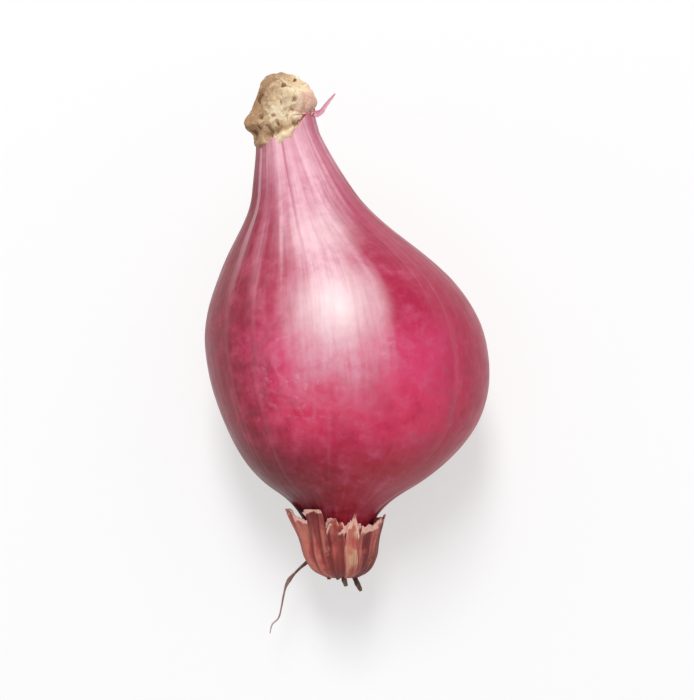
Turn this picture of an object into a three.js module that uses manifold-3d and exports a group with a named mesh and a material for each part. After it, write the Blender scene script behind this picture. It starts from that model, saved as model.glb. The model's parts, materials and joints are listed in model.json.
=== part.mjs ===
// A red shallot lying on its side, as picked, on a small flat spot. Millimetres, +Z up.
//
// Every piece is shaped in the bulb's own frame: the axis runs along +Y from the root end to the
// neck, and the belly is widest at y = 0. The resting group then lifts the neck and sets the flat
// spot on z = 0 with its centre at the origin. Seen from above with the neck up, -X is the left.

import * as THREE from "three";
import { mergeVertices } from "three/addons/utils/BufferGeometryUtils.js";
import Module from "manifold-3d";

// ---- Driving dimensions -------------------------------------------------------------------

const bellyRadius = 19.0; // half of the widest breadth
const bellyFlattening = 0.95; // height of the belly over its breadth
const rootEndY = -21.2; // bottom of the belly
const shoulderY = 15.3; // where the shoulder turns in towards the neck
const shoulderRadius = 9.65;
const waistY = 22.0; // where the shoulder has run out into the neck
const waistRadius = 7.0;
const neckMiddleY = 27.7;
const neckMiddleRadius = 4.75;
const neckEndY = 30.8; // top of the living neck
const neckEndRadius = 4.3;
const neckEndRound = 0.6; // rounding of the neck's top edge
const lobeHeight = 0.22; // how far the two cloves inside press the belly out
const lobeReach = 14; // how far from the widest place the lobes fade away
const neckLift = THREE.MathUtils.degToRad(10); // angle of the axis above the surface
const flatSpotDepth = 1.1; // how much of the round belly the flat spot takes
const flatSpotY = -1.0; // the flat spot's centre along the axis

const touchGap = 0.35; // air left between neighbouring pieces

const dryNeckLength = 7.2;
const dryNeckRadius = 4.6;
const dryNeckHollow = 1.0; // dip in the middle of the stump's end
const dryNeckFold = 0.06; // height of its folds over its radius

const rootPlateEndY = -28.4;
const rootPlateTopRadius = 4.3;
const rootPlateEndRadius = 3.3;

const flakeThickness = 0.5;
const flakeTear = 0.5; // depth of the points on a strip's torn end

// The pouch that the dry skin strips form round the plate, radius against y: it is tucked in at
// the bottom, nearly straight up the side and flared at its rim.
const pouchOutline = new THREE.SplineCurve([
  new THREE.Vector2(3.0, -30.3),
  new THREE.Vector2(4.5, -29.2),
  new THREE.Vector2(5.15, -27.2),
  new THREE.Vector2(5.7, -24.2),
  new THREE.Vector2(6.9, -20.9),
]);

const longRootRadius = 0.32;
const rootStubRadius = 0.4;

// The line through the middle of the bulb: the root end sits a little to the left, the belly
// bulges right below its widest place, and the neck leans to the left and its tip curls up.
const centreLine = new THREE.CatmullRomCurve3([
  new THREE.Vector3(-0.4, -32, 0),
  new THREE.Vector3(-0.9, -21, 0),
  new THREE.Vector3(0.6, -9, 0),
  new THREE.Vector3(0, 0, 0),
  new THREE.Vector3(-1.6, 10, 0),
  new THREE.Vector3(-4.6, 18, 0),
  new THREE.Vector3(-7.8, 29.5, 0.2),
  new THREE.Vector3(-9.0, 34.5, 1.2),
  new THREE.Vector3(-9.4, 40, 3.2),
]);
const centreLinePoints = centreLine.getPoints(280);

// The middle of the bulb at one height along the axis.
function centreAt(y) {
  let i = 1;
  while (i < centreLinePoints.length - 1 && centreLinePoints[i].y < y) i += 1;
  const low = centreLinePoints[i - 1];
  const high = centreLinePoints[i];
  const share = (y - low.y) / (high.y - low.y);
  return new THREE.Vector3().lerpVectors(low, high, share);
}

// Carries a point given round the straight axis onto the bent centre line.
function ontoCentreLine(point) {
  const centre = centreAt(point.y);
  return new THREE.Vector3(point.x + centre.x, point.y, point.z * bellyFlattening + centre.z);
}

// Moves every vertex of a geometry by a function of its place.
function reshape(geometry, placeOf) {
  const position = geometry.getAttribute("position");
  const point = new THREE.Vector3();
  for (let i = 0; i < position.count; i += 1) {
    point.fromBufferAttribute(position, i);
    const moved = placeOf(point);
    position.setXYZ(i, moved.x, moved.y, moved.z);
  }
  geometry.computeVertexNormals();
  return geometry;
}

function pieceOf(name, geometry, material) {
  const mesh = new THREE.Mesh(geometry, material);
  mesh.name = name;
  return mesh;
}

// ---- Finishes -----------------------------------------------------------------------------

const freshSkin = new THREE.MeshStandardMaterial({ color: "#b8405f", roughness: 0.35, metalness: 0 });
const dryStump = new THREE.MeshStandardMaterial({ color: "#c9ab80", roughness: 0.9, metalness: 0 });
const corkyPlate = new THREE.MeshStandardMaterial({ color: "#6e4234", roughness: 0.95, metalness: 0 });
const paperySkin = new THREE.MeshStandardMaterial({ color: "#b06a58", roughness: 0.75, metalness: 0 });
const dryRoot = new THREE.MeshStandardMaterial({ color: "#5c3a30", roughness: 0.9, metalness: 0 });

// ---- Resting pose -------------------------------------------------------------------------

// The belly's outline from the root end to the top of the neck, radius against y.
function bulbOutline() {
  const outline = new THREE.Path();
  outline.moveTo(0, rootEndY);
  outline.bezierCurveTo(0.4 * bellyRadius, rootEndY, bellyRadius, 0.65 * rootEndY, bellyRadius, 0);
  outline.bezierCurveTo(bellyRadius, 0.5 * waistY, shoulderRadius, shoulderY, waistRadius, waistY);
  outline.quadraticCurveTo(neckMiddleRadius, neckMiddleY, neckEndRadius, neckEndY - neckEndRound);
  outline.quadraticCurveTo(neckEndRadius, neckEndY, neckEndRadius - neckEndRound, neckEndY);
  outline.lineTo(0, neckEndY);
  return outline;
}

// Two soft lobes on the belly that fade out towards the root end and the neck.
function lobeAt(angle, y) {
  const fade = Math.exp(-((y / lobeReach) ** 2));
  return lobeHeight * fade * (Math.sin(2 * angle + 0.6) + 0.5 * Math.sin(3 * angle + 2.0));
}

function wholeBulb() {
  const outline = bulbOutline().getSpacedPoints(44);
  const geometry = new THREE.LatheGeometry(outline, 64);
  return reshape(geometry, (point) => {
    const radius = Math.hypot(point.x, point.z);
    const angle = Math.atan2(point.z, point.x);
    const grown = radius + Math.min(radius, 1) * lobeAt(angle, point.y);
    const x = grown * Math.cos(angle);
    const z = grown * Math.sin(angle);
    return ontoCentreLine(new THREE.Vector3(x, point.y, z));
  });
}

// The turn that lifts the neck, and the move that sets the flat spot on z = 0 at the origin.
function restingMatrix(bulbGeometry) {
  const turn = new THREE.Matrix4().makeRotationX(neckLift);
  const turned = bulbGeometry.clone().applyMatrix4(turn);
  turned.computeBoundingBox();
  const underside = turned.boundingBox.min.z;
  const spot = centreAt(flatSpotY).applyMatrix4(turn);
  const drop = new THREE.Vector3(-spot.x, -spot.y, -underside - flatSpotDepth);
  return new THREE.Matrix4().makeTranslation(drop.x, drop.y, drop.z).multiply(turn);
}

// ---- The bulb -----------------------------------------------------------------------------

const wasm = await Module();
wasm.setup();

function solidOf(geometry) {
  const bare = geometry.clone();
  bare.deleteAttribute("normal");
  bare.deleteAttribute("uv");
  const merged = mergeVertices(bare, 1e-4);
  const vertProperties = merged.getAttribute("position").array;
  const triVerts = new Uint32Array(merged.index.array);
  return new wasm.Manifold(new wasm.Mesh({ numProp: 3, vertProperties, triVerts }));
}

function geometryOf(solid) {
  const { vertProperties, triVerts } = solid.getMesh();
  const geometry = new THREE.BufferGeometry();
  geometry.setAttribute("position", new THREE.BufferAttribute(vertProperties, 3));
  geometry.setIndex(new THREE.BufferAttribute(triVerts, 1));
  geometry.computeVertexNormals();
  return geometry;
}

// The belly and neck in the resting pose, cut off level where they meet the surface.
function makeBulb(uncut, resting) {
  const depth = 20;
  const below = new THREE.BoxGeometry(80, 120, depth);
  below.translate(0, 0, -0.5 * depth);
  const cut = solidOf(uncut.clone().applyMatrix4(resting)).subtract(solidOf(below));
  return pieceOf("bulb", geometryOf(cut), freshSkin);
}

// ---- The dried stump on the neck ------------------------------------------------------------

// A corky knob, wider than the neck, with the folds of the dried leaf bases round it.
function makeDryNeck() {
  const startY = neckEndY + touchGap;
  const endY = startY + dryNeckLength;
  const side = 1.12 * dryNeckRadius;
  const lip = 0.62 * dryNeckRadius;
  const outline = new THREE.Path();
  outline.moveTo(0, startY);
  outline.lineTo(0.8 * dryNeckRadius, startY);
  outline.bezierCurveTo(side, startY, side, endY - dryNeckHollow, lip, endY);
  outline.quadraticCurveTo(0.5 * lip, endY, 0, endY - dryNeckHollow);
  const geometry = new THREE.LatheGeometry(outline.getSpacedPoints(14), 36);
  reshape(geometry, (point) => {
    const angle = Math.atan2(point.z, point.x);
    const share = (point.y - startY) / dryNeckLength;
    const wave = Math.sin(4 * angle + 1) + 0.7 * Math.sin(7 * angle);
    const folds = 1 + dryNeckFold * share * wave;
    return ontoCentreLine(new THREE.Vector3(point.x * folds, point.y, point.z * folds));
  });
  return pieceOf("dry_neck", geometry, dryStump);
}

// ---- The root end -------------------------------------------------------------------------

// The corky plug that the roots grew from, narrowing away from the belly.
function makeRootPlate() {
  const topY = rootEndY - touchGap;
  const outline = [
    new THREE.Vector2(0, rootPlateEndY),
    new THREE.Vector2(0.75 * rootPlateEndRadius, rootPlateEndY),
    new THREE.Vector2(rootPlateEndRadius, rootPlateEndY + 0.7),
    new THREE.Vector2(0.5 * (rootPlateEndRadius + rootPlateTopRadius), 0.5 * (rootPlateEndY + topY)),
    new THREE.Vector2(rootPlateTopRadius, topY - 0.9),
    new THREE.Vector2(0.9 * rootPlateTopRadius, topY),
    new THREE.Vector2(0, topY),
  ];
  const geometry = reshape(new THREE.LatheGeometry(outline, 28), ontoCentreLine);
  return pieceOf("root_plate", geometry, corkyPlate);
}

// The strips in the order they stand round the plate, counter-clockwise from the right. Each has
// the width of its arc and the gap before it in degrees, and how far up the pouch it reaches.
const flakes = [
  { width: 44, reach: 0.95, gapBefore: 8 },
  { width: 30, reach: 1.0, gapBefore: 7 },
  { width: 34, reach: 0.8, gapBefore: 7 },
  { width: 38, reach: 0.94, gapBefore: 7 },
  { width: 42, reach: 1.0, gapBefore: 7 },
  { width: 30, reach: 0.82, gapBefore: 17 },
  { width: 38, reach: 0.97, gapBefore: 7 },
  { width: 38, reach: 0.9, gapBefore: 7 },
];
const firstFlakeStart = -14; // degrees

// One strip: a thin curved shell whose far end is torn in two shallow points.
function makeFlake(name, startAngle, endAngle, reach) {
  const geometry = new THREE.BoxGeometry(1, 1, 1, 7, 9, 1);
  reshape(geometry, (point) => {
    const across = point.x + 0.5;
    const along = point.y + 0.5;
    const place = pouchOutline.getPoint(reach * along);
    const slope = pouchOutline.getTangent(reach * along);
    const radius = place.x + flakeThickness * point.z * slope.y;
    const torn = flakeTear * along * Math.cos(4 * Math.PI * across);
    const y = place.y - flakeThickness * point.z * slope.x - torn;
    const angle = THREE.MathUtils.degToRad(THREE.MathUtils.lerp(endAngle, startAngle, across));
    return ontoCentreLine(new THREE.Vector3(radius * Math.cos(angle), y, radius * Math.sin(angle)));
  });
  return pieceOf(name, geometry, paperySkin);
}

function makeFlakes() {
  const strips = [];
  let angle = firstFlakeStart;
  flakes.forEach(({ width, reach, gapBefore }, i) => {
    const startAngle = angle + gapBefore;
    angle = startAngle + width;
    strips.push(makeFlake(`skin_flake_${i + 1}`, startAngle, angle, reach));
  });
  return strips;
}

// A root of even thickness along a smooth line.
function makeRoot(name, points, radius, steps) {
  const section = new THREE.Shape();
  section.absarc(0, 0, radius, 0, 2 * Math.PI);
  const extrudePath = new THREE.CatmullRomCurve3(points);
  const settings = { extrudePath, steps, curveSegments: 8, bevelEnabled: false };
  return pieceOf(name, new THREE.ExtrudeGeometry(section, settings), dryRoot);
}

// The long root leaves the plate through the wide gap between the strips on its left, and wanders
// down and to the left, away from the bulb.
function makeLongRoot() {
  const points = [
    new THREE.Vector3(-3.8, -27.0, -2.35),
    new THREE.Vector3(-4.95, -27.9, -3.1),
    new THREE.Vector3(-6.7, -29.4, -3.4),
    new THREE.Vector3(-8.1, -31.2, -3.3),
    new THREE.Vector3(-8.8, -34.2, -3.2),
    new THREE.Vector3(-10.4, -37.9, -3.9),
  ];
  return makeRoot("root_long", points, longRootRadius, 24);
}

// Short broken roots under the plate: where each starts on it, and how far and which way it goes.
const rootStubs = [
  { startX: 0.3, startZ: 1.3, reach: new THREE.Vector3(0.2, -2.5, 0.3) },
  { startX: 1.5, startZ: 0.1, reach: new THREE.Vector3(0.9, -3.4, 0.1) },
  { startX: -1.4, startZ: 0.6, reach: new THREE.Vector3(-0.4, -2.2, 0.4) },
  { startX: -0.4, startZ: -1.4, reach: new THREE.Vector3(-0.2, -2.8, -0.5) },
];

function makeRootStubs() {
  const startY = rootPlateEndY - touchGap;
  return rootStubs.map(({ startX, startZ, reach }, i) => {
    const start = new THREE.Vector3(startX, startY, startZ).add(centreAt(startY).setY(0));
    const middle = start.clone().addScaledVector(reach, 0.5).add(new THREE.Vector3(-0.2, 0, 0.15));
    const end = start.clone().add(reach);
    return makeRoot(`root_stub_${i + 1}`, [start, middle, end], rootStubRadius, 6);
  });
}

// ---- The whole shallot --------------------------------------------------------------------

const uncutBulb = wholeBulb();
const resting = restingMatrix(uncutBulb);

const shallot = new THREE.Group();
shallot.add(makeBulb(uncutBulb, resting));

const lying = new THREE.Group();
lying.applyMatrix4(resting);
lying.add(makeDryNeck(), makeRootPlate(), ...makeFlakes(), makeLongRoot(), ...makeRootStubs());
shallot.add(lying);

export default shallot;
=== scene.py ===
# %% [markdown]
# A red shallot that lies on its side.
# The solid model gives the size and place of each piece. Every finished piece below is built in
# the same frame, in metres, over the plain solid that it stands for, so the frame comes first.

# %% Load the measured frame
import json
import math

import bpy
import numpy as np
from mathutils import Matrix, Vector, noise

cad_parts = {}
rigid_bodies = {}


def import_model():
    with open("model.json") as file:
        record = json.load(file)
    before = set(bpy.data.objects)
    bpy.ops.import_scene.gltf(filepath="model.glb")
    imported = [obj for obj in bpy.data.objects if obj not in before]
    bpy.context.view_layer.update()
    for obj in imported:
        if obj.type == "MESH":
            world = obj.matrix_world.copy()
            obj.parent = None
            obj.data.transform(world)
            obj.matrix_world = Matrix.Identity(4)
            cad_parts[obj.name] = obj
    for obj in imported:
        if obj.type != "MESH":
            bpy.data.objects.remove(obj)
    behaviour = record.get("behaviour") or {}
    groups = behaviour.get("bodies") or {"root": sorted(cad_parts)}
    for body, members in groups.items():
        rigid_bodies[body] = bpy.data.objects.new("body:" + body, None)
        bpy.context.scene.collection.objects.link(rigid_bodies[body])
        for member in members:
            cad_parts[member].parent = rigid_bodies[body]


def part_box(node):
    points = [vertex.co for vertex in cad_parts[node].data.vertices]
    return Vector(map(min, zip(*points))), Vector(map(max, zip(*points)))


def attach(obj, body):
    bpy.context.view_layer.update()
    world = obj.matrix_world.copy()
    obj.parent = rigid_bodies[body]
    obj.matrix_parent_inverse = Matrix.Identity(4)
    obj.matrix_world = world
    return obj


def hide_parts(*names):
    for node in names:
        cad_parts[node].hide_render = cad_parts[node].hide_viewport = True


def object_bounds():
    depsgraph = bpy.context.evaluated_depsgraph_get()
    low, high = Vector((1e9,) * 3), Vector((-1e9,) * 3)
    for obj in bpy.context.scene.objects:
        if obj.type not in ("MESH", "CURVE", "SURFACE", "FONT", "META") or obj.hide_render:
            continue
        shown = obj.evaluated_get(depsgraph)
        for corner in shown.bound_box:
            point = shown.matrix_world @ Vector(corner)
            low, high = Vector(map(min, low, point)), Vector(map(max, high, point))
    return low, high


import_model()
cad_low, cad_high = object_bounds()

print("solid model, millimetres:", [round(1000 * (b - a), 1) for a, b in zip(cad_low, cad_high)])

# %% [markdown]
# A shallot is easiest to shape upright in its own frame, in millimetres: the axis runs along +Y from
# the root end to the neck, the belly is widest at y = 0, and the angle round the axis starts at the
# right side and passes the top side at a quarter turn. One function then bends a point onto the
# crooked line through the middle of the bulb, and another lays the bulb down.

# %% The line through the middle of the bulb
line_y = np.array([-32, -21, -9, 0, 10, 18, 29.5, 34.5, 40.0])
line_x = np.array([-0.4, -0.9, 0.6, 0, -1.6, -4.6, -7.8, -9.0, -9.4])
line_z = np.array([0, 0, 0, 0, 0, 0, 0.2, 1.2, 3.2])


def smooth_through(knots, values, at):
    """A smooth curve through a few chosen points, read at any place between them."""
    slopes = np.gradient(values, knots)
    i = np.clip(np.searchsorted(knots, at) - 1, 0, len(knots) - 2)
    width = knots[i + 1] - knots[i]
    t = (at - knots[i]) / width
    start, end = values[i], values[i + 1]
    rise_out = t**3 - 2 * t**2 + t
    rise_in = t**3 - t**2
    blend = 3 * t**2 - 2 * t**3
    return start + blend * (end - start) + width * (rise_out * slopes[i] + rise_in * slopes[i + 1])


flattening = 0.95  # height of the belly over its breadth


def onto_line(x, y, z):
    """Bends points round the straight axis onto the crooked one."""
    bent_x = x + smooth_through(line_y, line_x, y)
    bent_z = z * flattening + smooth_through(line_y, line_z, y)
    return np.stack(np.broadcast_arrays(bent_x, y, bent_z), axis=-1)


def round_axis(angle, radius, y):
    return onto_line(radius * np.cos(angle), y, radius * np.sin(angle))


# %% [markdown]
# The outline is four Bezier curves, from the middle of the root end out round the belly, in over the
# shoulder and up the neck. A surface of revolution alone would look turned on a lathe, so two soft
# lobes press it out where the cloves inside lie.

# %% The outline and the plain belly
belly_radius = 19.0
root_end_y = -21.2
neck_end_y = 30.8


def bezier(corners, count=120):
    t = np.linspace(0, 1, count)[:, None]
    legs = [np.array(c, float) for c in corners]
    while len(legs) > 1:
        legs = [(1 - t) * a + t * b for a, b in zip(legs, legs[1:])]
    return legs[0]


belly = bezier([(0, root_end_y), (7.6, root_end_y), (belly_radius, -13.8), (belly_radius, 0)])
shoulder = bezier([(belly_radius, 0), (belly_radius, 11), (9.65, 15.3), (7, 22)])
neck = bezier([(7, 22), (4.75, 27.7), (4.3, 30.2)])
neck_top = bezier([(4.3, 30.2), (4.3, neck_end_y), (3.7, neck_end_y)], 12)
outline = np.vstack([belly, shoulder[1:], neck[1:], neck_top[1:]])


def evenly(points, count):
    """The same curve with its points at equal steps along it."""
    steps = np.linalg.norm(np.diff(points, axis=0), axis=1)
    travelled = np.concatenate([[0], np.cumsum(steps)])
    at = np.linspace(0, travelled[-1], count)
    return np.stack([np.interp(at, travelled, part) for part in points.T], axis=1)


def lobes(angle, y):
    fade = np.exp(-((y / 14) ** 2))
    return 0.22 * fade * (np.sin(2 * angle + 0.6) + 0.5 * np.sin(3 * angle + 2.0))


# %% [markdown]
# The resting pose comes from the solid model: the axis is lifted ten degrees at the neck, and the
# plain belly is then moved until its root end, its sides and its top meet the solid bulb's box.
# Whatever would sink below the surface is pressed flat on it, with a slightly eased edge, because a
# heavy ripe bulb rests on a small flat and not on a point.

# %% Lay the bulb down
neck_lift = math.radians(10)
edge_ease = 0.12  # softness of the flat spot's edge


def tipped(points):
    x, y, z = np.moveaxis(points, -1, 0)
    lifted_y = y * math.cos(neck_lift) - z * math.sin(neck_lift)
    lifted_z = y * math.sin(neck_lift) + z * math.cos(neck_lift)
    return np.stack([x, lifted_y, lifted_z], axis=-1)


bulb_low, bulb_high = (1000 * np.array(corner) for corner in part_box("bulb"))
turn = np.linspace(0, 2 * math.pi, 181)
trial_radius, trial_y = (part[:, None] for part in evenly(outline, 200).T)
trial_swell = lobes(turn, trial_y) * np.minimum(trial_radius, 1)
trial = tipped(round_axis(turn, trial_radius + trial_swell, trial_y)).reshape(-1, 3)
settle = np.array([
    (bulb_low[0] + bulb_high[0] - trial[:, 0].min() - trial[:, 0].max()) / 2,
    bulb_low[1] - trial[:, 1].min(),
    bulb_high[2] - trial[:, 2].max(),
])
print("flat spot takes", round(-(trial[:, 2].min() + settle[2]), 2), "mm of the round belly")


def laid_down(points):
    """From the bulb's own frame in millimetres to the resting pose in metres."""
    lying = tipped(points) + settle
    lying[..., 2] = edge_ease * np.logaddexp(0, lying[..., 2] / edge_ease)
    return lying / 1000


# %% [markdown]
# Every piece is a closed mesh made from points and faces. A few numbers are stored on its points,
# which the finishes read later. The piece then rides on the body of the solid model and stands in
# for its plain solid, where the solid model has one.

# %% Make one piece
def shown_piece(name, points, faces, values, replaced):
    """Makes a piece, stores its numbers, and lets it ride on the body."""
    mesh = bpy.data.meshes.new(name)
    mesh.from_pydata(points.tolist(), [], faces)
    mesh.shade_smooth()
    for key, numbers in values.items():
        numbers = np.asarray(numbers, np.float32)
        kind, field = ("FLOAT_VECTOR", "vector") if numbers.ndim > 1 else ("FLOAT", "value")
        mesh.attributes.new(key, kind, "POINT").data.foreach_set(field, numbers.ravel())
    piece = bpy.data.objects.new(name, mesh)
    bpy.context.scene.collection.objects.link(piece)
    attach(piece, "root")
    if replaced:
        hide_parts(replaced)
    print(name, "has", len(mesh.polygons), "faces")
    return piece


def on_grid(numbers, rows, columns):
    """The same numbers with an entry for every point of a grid."""
    numbers = np.asarray(numbers, float)
    return np.broadcast_to(numbers, (rows, columns) + ((3,) if numbers.ndim == 3 else ()))


def listed(grid):
    """The entries of a grid, row after row."""
    return grid.reshape(-1, *grid.shape[2:])


# %% [markdown]
# The bulb, the stump, the plate and the roots are stacks of rings. One function skins such a stack
# and closes both ends on a middle point, whose stored numbers are the mean of the ring beside it. It
# also unrolls the skin flat, so that a baked picture of it has no stray seams.

# %% Pieces made of rings
end_margin = 0.02  # share of the unrolled skin that each closed end takes


def ring_piece(name, rings, values, replaced=None):
    """Skins rings of points, given root end first, and closes both ends on a middle point."""
    rows, columns = rings.shape[:2]
    points = laid_down(np.vstack([rings.reshape(-1, 3), rings[[0, -1]].mean(axis=1)]))
    across = [c / columns for c in range(columns + 1)]
    along = [end_margin + (1 - 2 * end_margin) * r / (rows - 1) for r in range(rows)]
    faces, unrolled = [], []
    for row in range(rows - 1):
        low, high = row * columns, (row + 1) * columns
        v, w = along[row], along[row + 1]
        for c in range(columns):
            d = (c + 1) % columns
            faces.append((low + c, high + c, high + d, low + d))
            unrolled += [(across[c], v), (across[c], w), (across[c + 1], w), (across[c + 1], v)]
    top = (rows - 1) * columns
    for c in range(columns):
        d = (c + 1) % columns
        middle = (across[c] + across[c + 1]) / 2
        faces.append((rows * columns, c, d))
        unrolled += [(middle, 0), (across[c], along[0]), (across[c + 1], along[0])]
        faces.append((rows * columns + 1, top + d, top + c))
        unrolled += [(middle, 1), (across[c + 1], along[-1]), (across[c], along[-1])]
    with_ends = {}
    for key, numbers in values.items():
        grid = on_grid(numbers, rows, columns)
        with_ends[key] = np.concatenate([listed(grid), grid[[0, -1]].mean(axis=1)])
    piece = shown_piece(name, points, faces, with_ends, replaced)
    layer = piece.data.uv_layers.new(name="OFBake")
    layer.data.foreach_set("uv", np.array(unrolled, np.float32).ravel())
    return piece


# %% [markdown]
# Dry skin is a thin sheet. A closed sheet needs two faces a little way apart and a narrow edge that
# runs all round between them.

# %% Pieces made of a sheet
def sheet_piece(name, outer, inner, values, replaced=None):
    """Closes a thin sheet from its outer and inner face and the narrow edge between them."""
    rows, columns = outer.shape[:2]
    points = laid_down(np.vstack([outer.reshape(-1, 3), inner.reshape(-1, 3)]))
    number = np.arange(rows * columns).reshape(rows, columns)
    under = number + rows * columns
    quads = np.stack([number[:-1, :-1], number[1:, :-1], number[1:, 1:], number[:-1, 1:]], axis=-1)
    faces = quads.reshape(-1, 4).tolist() + (quads + rows * columns)[..., ::-1].reshape(-1, 4).tolist()
    rim = np.concatenate([number[0], number[1:, -1], number[-1, -2::-1], number[-2:0:-1, 0]])
    rim_under = np.concatenate([under[0], under[1:, -1], under[-1, -2::-1], under[-2:0:-1, 0]])
    for i in range(len(rim)):
        j = (i + 1) % len(rim)
        faces.append((rim[i], rim[j], rim_under[j], rim_under[i]))
    faces = [tuple(int(corner) for corner in face) for face in faces]
    doubled = {}
    for key, numbers in values.items():
        one_face = listed(on_grid(numbers, rows, columns))
        doubled[key] = np.concatenate([one_face, one_face])
    return shown_piece(name, points, faces, doubled, replaced)


# %% [markdown]
# Nothing that grows is even. The pleats, lumps and torn rims below all come from one smooth noise.
# Read at places on a circle it meets itself without a seam, and read more slowly along the bulb than
# round it, it makes long folds.

# %% Uneven surfaces
def unevenness(places, octaves=2):
    """Smooth noise from about -1 to 1, one number for each place."""
    flat = np.asarray(places, float).reshape(-1, 3).tolist()
    heights = [noise.fractal(place, 1.0, 2.0, octaves) for place in flat]
    return np.reshape(heights, np.shape(places)[:-1])


def rise(value, low, high):
    """Climbs smoothly from 0 at low to 1 at high."""
    t = np.clip((value - low) / (high - low), 0, 1)
    return t * t * (3 - 2 * t)


def on_circle(angle, y, features, stretch):
    """Places on a tube, about as many features round it as asked, and long ones along it."""
    reach = features / (2 * math.pi)
    angle, y = np.broadcast_arrays(angle, y)
    return np.stack([reach * np.cos(angle), reach * np.sin(angle), y / stretch], axis=-1)


def outward(rings):
    """The direction that each point of a stack of rings faces."""
    along = np.gradient(rings, axis=0)
    across = np.roll(rings, -1, axis=1) - np.roll(rings, 1, axis=1)
    facing = np.cross(along, across)
    return facing / np.linalg.norm(facing, axis=-1, keepdims=True)


# %% [markdown]
# The bulb is one closed skin. At the root end it narrows into a short funnel that runs down inside
# the dry pouch. At the neck the living skin has torn off along a slanted line: on the left it stops
# under the lip of the stump, and on the right it climbs the side of the stump.

# %% The bulb's outline and its torn edge
funnel_join = int(0.35 * len(belly))
join_point = belly[funnel_join]
join_way = belly[funnel_join + 1] - join_point
join_way /= np.linalg.norm(join_way)
funnel = bezier([(3.9, -25.6), (4.0, -22.4), join_point - 3.2 * join_way, join_point], 60)
plain_top = 29.2
skin_outline = np.vstack([funnel, belly[funnel_join + 1:], shoulder[1:], neck[neck[:, 1] < plain_top][1:]])


def skin_top(angle):
    """How far up the neck the living skin reaches: highest along the right side of the stump."""
    right = np.cos(angle)
    torn_edge = 0.35 * unevenness(on_circle(angle, 0 * angle, 26, 1), 3)
    return 29.6 + 2.1 * right + 1.7 * right**2 + torn_edge


bulb_angle = np.linspace(0, 2 * math.pi, 320, endpoint=False)
plain_radius, plain_y = (part[:, None] for part in evenly(skin_outline, 270).T)
slant_start = 20
bulb_y = plain_y + rise(plain_y, slant_start, plain_top) * (skin_top(bulb_angle) - plain_top)
neck_line = np.vstack([shoulder, neck[1:], [(4.3, 34)]])
neck_radius = np.interp(bulb_y, neck_line[:, 1], neck_line[:, 0])
bulb_radius = np.where(plain_y > slant_start, neck_radius, plain_radius)
print("skin torn off at", round(bulb_y[-1].min(), 1), "to", round(bulb_y[-1].max(), 1), "mm")

# %% [markdown]
# The rings are close together, so that the pleats of the drying neck can be real ridges and not only
# painted lines. The pleats start on the shoulder, where the outer skin still fits tightly, and grow
# towards the neck, where the same skin has to fit a quarter of the width. Past the torn edge a few
# more rings turn the skin in, so that the edge looks thick and the bulb is closed under the stump.

# %% Shape the bulb
neck_share = rise(bulb_y, 6, 27)
pleats = unevenness(on_circle(bulb_angle, bulb_y, 30, 26))
fine_pleats = unevenness(on_circle(bulb_angle, bulb_y, 75, 18))
dents = unevenness(on_circle(bulb_angle, bulb_y, 7, 11))
swell = neck_share * (0.24 * pleats + 0.06 * fine_pleats)
dimples = unevenness(on_circle(bulb_angle, bulb_y, 42, 2.6))
swell = swell + (0.16 * dents + 0.02 * dimples) * rise(bulb_radius, 4, 10)
funnel_pleats = unevenness(on_circle(bulb_angle, bulb_y, 34, 9))
swell = swell + 0.3 * funnel_pleats * rise(-bulb_y, 16, 22)
swell = swell + lobes(bulb_angle, bulb_y) * np.minimum(bulb_radius, 1)
bulb_radius = bulb_radius + swell

turned_in = np.linspace(0, 1, 13)[1:, None]
edge_radius = bulb_radius[-1] * (1 - 0.45 * turned_in**2)
edge_y = bulb_y[-1] + 0.1 * np.sin(math.pi * turned_in**0.5) - 0.3 * turned_in**2
bulb_radius = np.vstack([bulb_radius, edge_radius])
bulb_y = np.vstack([bulb_y, edge_y])
bulb_rings = round_axis(bulb_angle, bulb_radius, bulb_y)

height_unit = 20  # millimetres along the bulb that the finishes count as 1


def grain_at(angle, y):
    """Where a point lies round and along the bulb, for lines that follow the skin's own fibres."""
    return np.stack(np.broadcast_arrays(np.cos(angle), np.sin(angle), y / height_unit), axis=-1)


ring_piece("bulb_skin", bulb_rings, {"grain": grain_at(bulb_angle, bulb_y)}, "bulb")

# %% [markdown]
# The stump is what is left of the leaves: a dry corky knob, wider than the neck it sits on. It is
# made from rings too, but the line through them bends up, and the outline that they follow turns
# back into the end, so that the stump ends in a slanted face with a sunken middle.

# %% The line and the outline of the stump
def curve_through(points, count):
    """A smooth curve through a few points in order, with its own points evenly spaced."""
    points = np.array(points, float)
    steps = np.linalg.norm(np.diff(points, axis=0), axis=1)
    reach = np.concatenate([[0], np.cumsum(steps)])
    at = np.linspace(0, reach[-1], count)
    return np.stack([smooth_through(reach, part, at) for part in points.T], axis=1)


def unit(vectors):
    return vectors / np.linalg.norm(vectors, axis=-1, keepdims=True)


stump_start = 30.2
neck_way = unit(np.array([-0.2, 1.0, 0.12]))
face_way = unit(np.array([0.4, 0.78, 0.5]))
stump_outline = curve_through([
    (-1.3, 3.2), (-0.7, 4.1), (-0.2, 4.55), (0.3, 4.65), (0.8, 4.45), (1.3, 4.2), (2.0, 4.1),
    (2.8, 4.1), (4.0, 3.9), (5.4, 3.75), (6.6, 3.4), (7.2, 2.8), (7.25, 2.2), (7.0, 1.6),
    (6.9, 1.0), (6.8, 0.4),
], 190)
stump_angle = np.linspace(0, 2 * math.pi, 260, endpoint=False)
advance, stump_radius = (part[:, None] for part in stump_outline.T)

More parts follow.
